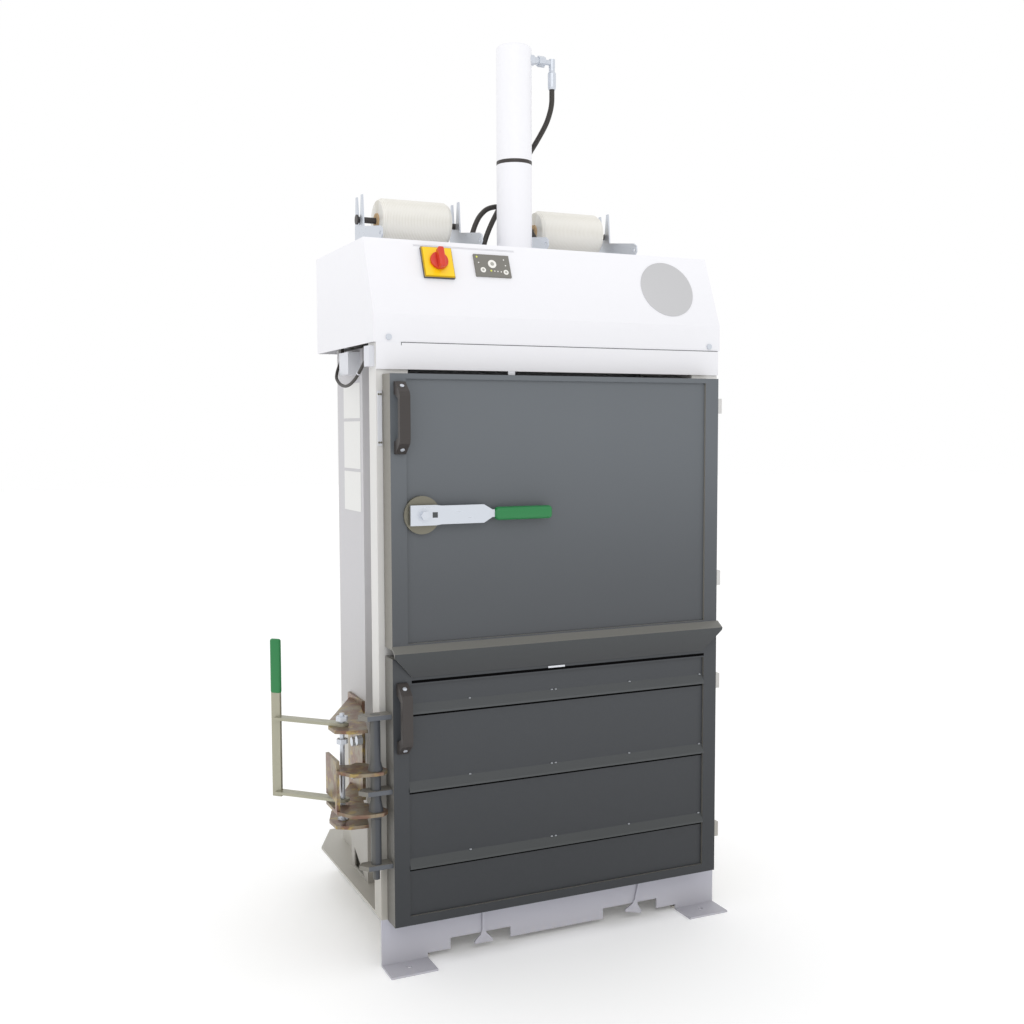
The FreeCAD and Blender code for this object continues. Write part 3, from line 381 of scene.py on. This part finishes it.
twine = Finish("wound_twine", tone(244, 243, 238), 0.85)
reel_y, reel_z = 0.439, 1.857
out_y, out_z = twine.along("Y") - reel_y, twine.along("Z") - reel_z
out_squared = out_y * out_y + out_z * out_z
radius_field = twine.node("ShaderNodeMath", {"operation": "SQRT"}, {0: out_squared})
turn_field = twine.node("ShaderNodeMath", {"operation": "ARCTAN2"}, {0: out_z, 1: out_y})
travel = twine.along("X") * 1500
strands = [twine.node("ShaderNodeMath", {"operation": "SINE"}, {0: travel + turn_field * lead})
           for lead in (3.0, -5.0)]
winding = strands[0].maths("MAXIMUM", *strands)
worn = twine.noise(60, 3)
body_tone = twine.blend(twine.ramp(winding, -0.4, 0.8), tone(226, 223, 214), tone(238, 236, 230))
body_tone = twine.blend(worn * 0.2, body_tone, tone(222, 219, 208))
twine.feed("Base Color", twine.blend(twine.ramp(radius_field, 0.0202, 0.0212),
                                     tone(196, 166, 126), body_tone))
twine.bump(winding, 0.0006, 0.5)
coat_nodes(twine, "left_twine_roll", "right_twine_roll")
coat_nodes(moulded_black, "twine_rods")
coat_nodes(bright_zinc, "twine_brackets")

# ---- hydraulics -----------------------------------------------------------------------------
# A painted cylinder with a black band round it, and black rubber hoses with a cloth-marked
# cover and zinc ends.

hose_rubber = Finish("hose_rubber", tone(48, 44, 40), 0.5)
weave = hose_rubber.noise(900, 2)
hose_rubber.bump(weave, 0.0003, 0.6)
coat_nodes(hose_rubber, "pressure_hose", "return_hose", "door_switch_cable")
coat_nodes(bright_zinc, "hose_fitting")
bands = bmesh.new()
add_round(bands, station(475, 257, 2001), (0, 0, 1), 0.0474, 0.010, 0.0006, 96)
finish_piece(bands, "cylinder_band", moulded_black, "frame")

# ---- controls -------------------------------------------------------------------------------
# Yellow switch plate with a red turn knob, and a grey foil keypad, all on the hood's slope.

rise_way = Vector((0, 0.36967, 0.92917))
proud_way = Vector((0, -0.92917, 0.36967))
slope_foot_y, slope_foot_z = 0.027, 1.571
plate_yellow = tone(250, 208, 12)
yellow = Finish("switch_yellow", plate_yellow, 0.35, coat=0.3)
# the plate's back half is a black gasket
proud = ((yellow.along("Y") - slope_foot_y) * proud_way.y
         + (yellow.along("Z") - slope_foot_z) * proud_way.z)
yellow.feed("Base Color", yellow.blend(yellow.ramp(proud, 0.0076, 0.0084), tone(36, 34, 30),
                                       plate_yellow))
yellow.bump(yellow.noise(600, 2), 0.0001, 0.2)
red = Finish("knob_red", tone(208, 52, 30), 0.38, coat=0.2)
red.bump(red.noise(600, 2), 0.0001, 0.2)
foil = Finish("keypad_foil", tone(120, 118, 112), 0.5)
foil.feed("Roughness", foil.noise(300, 2) * 0.2 + 0.4)
coat_nodes(yellow, "switch_base")
coat_nodes(foil, "keypad")


def on_slope(x, rise, proud):
    """A spot on the hood's slope, rise above its foot and standing proud of it."""
    return station(x, -4 + 74 * rise / 186, 1571 + rise) + proud_way * proud / 1000


knob = bmesh.new()
add_round(knob, on_slope(173, 129, 12.3), proud_way, 0.0228, 0.0095, 0.003, 64)
slope_frame = Matrix((Vector((1, 0, 0)), rise_way, proud_way)).transposed().to_4x4()
ridge = bmesh.new()
bmesh.ops.create_cube(ridge, size=1, matrix=Matrix.Translation(on_slope(173, 129, 31))
                      @ slope_frame @ Matrix.Diagonal((0.0155, 0.0525, 0.0215, 1)))
bmesh.ops.bevel(ridge, geom=ridge.edges[:], offset=0.0045, segments=5, profile=0.5,
                affect="EDGES", material=-1)
join(knob, ridge)
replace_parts(finish_piece(knob, "turn_knob", red, "switch_knob"), "switch_knob")
white_key = Finish("key_white", tone(236, 235, 230), 0.4)
white_key.bump(white_key.noise(700, 2), 0.0001, 0.3)


def on_keypad(across, down):
    """A place on the keypad, as shares of its width and of its height from the top."""
    left, width, rise, height = 271, 94, 130, 55.74
    return on_slope(left + width * across, rise + (0.5 - down) * height, 5)


key_grey = Finish("key_grey", tone(168, 167, 160), 0.45)
key_grey.bump(key_grey.noise(700, 2), 0.0001, 0.3)
lamp_green = Finish("lamp_green", tone(222, 226, 96), 0.3)
lamp_green.bump(lamp_green.noise(700, 2), 0.0001, 0.3)
keys, rings, lamps = bmesh.new(), bmesh.new(), bmesh.new()
for x, down, radius in ((0.49, 0.43, 0.0112), (0.21, 0.72, 0.0072), (0.855, 0.78, 0.0068)):
    add_round(keys, on_keypad(x, down), proud_way, radius, 0.0012, 0.0005, 40)
    add_round(rings, on_keypad(x, down), proud_way, radius * 0.45, 0.0016, 0.0003, 32)
small_lights = ((0.11, 0.39), (0.84, 0.21), (0.87, 0.47), (0.536, 0.75), (0.624, 0.76),
                (0.72, 0.77))
for x, down in small_lights:
    add_round(keys, on_keypad(x, down), proud_way, 0.0017, 0.0008, 0.0002, 16)
for x, down in ((0.08, 0.13), (0.436, 0.74)):
    add_round(lamps, on_keypad(x, down), proud_way, 0.0024, 0.0009, 0.0002, 20)
finish_piece(keys, "keypad_keys", white_key, "frame")
finish_piece(rings, "keypad_rings", key_grey, "frame")
finish_piece(lamps, "keypad_lamps", lamp_green, "frame")

badge_foil = Finish("badge_foil", tone(196, 196, 198), 0.34, 0.35)
badge_foil.feed("Roughness", badge_foil.noise(180, 2) * 0.16 + 0.26)
badge = bmesh.new()
add_round(badge, on_slope(814, 95, 0), proud_way, 0.078, 0.0014, 0.0006, 96)
finish_piece(badge, "blank_badge", badge_foil, "frame")

# ---- lock and latch -------------------------------------------------------------------------
# Zinc-plated claw, bracket and levers with dipped green grips, turning on bolts with washers.

green = Finish("dipped_green", tone(20, 118, 60), 0.4, coat=0.15)
green.bump(green.noise(90, 3), 0.0006, 0.4)

lever_zinc = Finish("lever_zinc", tone(164, 162, 144), 0.4, 0.5)
lever_zinc.feed("Roughness", lever_zinc.noise(140, 4) * 0.25 + 0.28)
lever_zinc.bump(lever_zinc.noise(500, 2), 0.0001, 0.3)
disc_zinc = Finish("disc_zinc", tone(122, 119, 106), 0.42, 0.6)
disc_zinc.feed("Roughness", disc_zinc.noise(240, 4) * 0.3 + 0.26)
coat_nodes(lever_zinc, "lock_lever")
coat_nodes(disc_zinc, "latch_disc")
coat_nodes(zinc, "lock_bracket", "lock_claw")
coat_nodes(bright_zinc, "lever_pivot_bolt", "frame_fasteners", "latch_lever")

latch_parts = bmesh.new()
add_round(latch_parts, station(90, -75, 1100), (0, -1, 0), 0.0165, 0.0006, 0.0002, 48)
finish_piece(latch_parts, "latch_washer", bright_zinc, "latch")
gap_shade_grey = Finish("gap_shade_grey", tone(66, 70, 72), 0.6)
gap_shade_grey.bump(gap_shade_grey.noise(400, 2), 0.0001, 0.3)
# painted shade: the latch's square hole is drawn as a dark grey patch
square_hole_shade = bmesh.new()
add_bar(square_hole_shade, (111, -75.15, 1094), (124, -74.9, 1107), 0)
finish_piece(square_hole_shade, "latch_square_hole", gap_shade_grey, "latch")

# ---- seams, gaps and small fixings ------------------------------------------------------------
# Painted shade and shadow: dark strips along the seam under the hood, below the lip and beneath
# each stiffening rib, whose top edge has bright weld specks.  Screws hold the door switch's
# strip, and a tie holds its cable.

switch_white = Finish("switch_white", tone(214, 216, 222), 0.4)
switch_white.bump(switch_white.noise(500, 2), 0.0001, 0.3)
# painted shade: a dark strip along the seam under the hood
seams = bmesh.new()
add_bar(seams, (62, -6.2, 1504.2), (948, -5.9, 1505.8), 0)
add_bar(seams, (61, -6.2, 1498), (62.6, -5.9, 1505.8), 0)
finish_piece(seams, "hood_seam_shade", gap_shade_grey, "frame")
# painted shadow: black strips under each rib and below the upper door's lip
shadow_black = Finish("shadow_black", (0.0015, 0.0015, 0.0018), 0.9)
shadow_black.feed("Specular IOR Level", 0.05)
shadow_black.bump(shadow_black.noise(400, 2), 0.0001, 0.3)
rib_lows = (628, 441, 254)
rib_shadow_strips = bmesh.new()
for z in rib_lows:
    add_bar(rib_shadow_strips, (55, -51.6, z - 6.5), (877, -50.9, z), 0)
add_bar(rib_shadow_strips, (62, -57.6, 702.5), (878, -56.9, 709), 0)
finish_piece(rib_shadow_strips, "rib_shadow_strips", shadow_black, "lower_door")
tabs = bmesh.new()
add_bar(tabs, (327, -30, 1431.5), (345, -27, 1440.5), 0.0008)
finish_piece(tabs, "header_tab", switch_white, "frame")
lip_tab = bmesh.new()
add_bar(lip_tab, (420, -59.4, 708.8), (466, -57, 713.6), 0.0006)
finish_piece(lip_tab, "lip_tab", switch_white, "lower_door")
weld_shine = Finish("weld_shine", tone(150, 153, 158), 0.3, 0.4)
weld_shine.bump(weld_shine.noise(900, 2), 0.0002, 0.5)
welds = bmesh.new()
for z in rib_lows:
    for x in (209, 430, 441, 653, 866):
        add_round(welds, station(x, -51.4, z + 24.5), (1, 0, 0), 0.002, 0.0055, 0.0008, 16)
finish_piece(welds, "rib_welds", weld_shine, "lower_door")
panel_edge = bmesh.new()
for rise in (171, 173.5):
    corners = [panel_edge.verts.new(on_slope(x, r, 0.25)) for x, r in (
        (118, rise), (385, rise), (385, rise + 0.9), (118, rise + 0.9))]
    panel_edge.faces.new(corners)
panel_grey = Finish("panel_edge_grey", tone(188, 188, 194), 0.5)
panel_grey.bump(panel_grey.noise(400, 2), 0.0001, 0.3)
finish_piece(panel_edge, "control_panel_edge", panel_grey, "frame")
coat_nodes(switch_white, "door_switch")
strip_screws = bmesh.new()
for z in (1270, 1383):
    for x in (5.4, 10.6):
        add_round(strip_screws, station(x, -3, z), (0, -1, 0), 0.0024, 0.0014, 0.0003, 16)
finish_piece(strip_screws, "switch_strip_screws", disc_zinc, "frame")
tie = bmesh.new()
add_round(tie, station(-8.4, 106, 1438), (-0.03, 0.85, -0.53), 0.0056, 0.004, 0.0004, 24)
finish_piece(tie, "cable_tie", switch_white, "frame")


def grip_sleeve(name, node, body, swing, size, soft):
    """A rounded vinyl sleeve in place of a lever's plain grip."""
    low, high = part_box(node)
    grip = bmesh.new()
    bmesh.ops.create_cube(grip, size=1, matrix=Matrix.Translation((low + high) / 2)
                          @ Matrix.Rotation(swing, 4, "Z") @ Matrix.Diagonal((*size, 1)))
    bmesh.ops.bevel(grip, geom=grip.edges[:], offset=soft, segments=6, profile=0.5,
                    affect="EDGES", material=-1)
    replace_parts(finish_piece(grip, name, green, body), node)


latch_low, latch_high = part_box("latch_grip")
latch_size = latch_high - latch_low
grip_sleeve("latch_grip_sleeve", "latch_grip", "latch", 0, latch_size, min(latch_size) * 0.44)
lock_low, lock_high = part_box("lock_lever_grip")
grip_sleeve("lock_grip_sleeve", "lock_lever_grip", "lock_lever", math.atan2(130, -128),
            (0.028, 0.013, lock_high.z - lock_low.z), 0.0058)

# ---- rating plates --------------------------------------------------------------------------
# Blank foil plates on the left column.

foil_plate = Finish("blank_foil", tone(222, 222, 220), 0.4, 0.1)
foil_plate.feed("Roughness", foil_plate.noise(200, 2) * 0.2 + 0.3)
coat_nodes(foil_plate, "rating_plates")
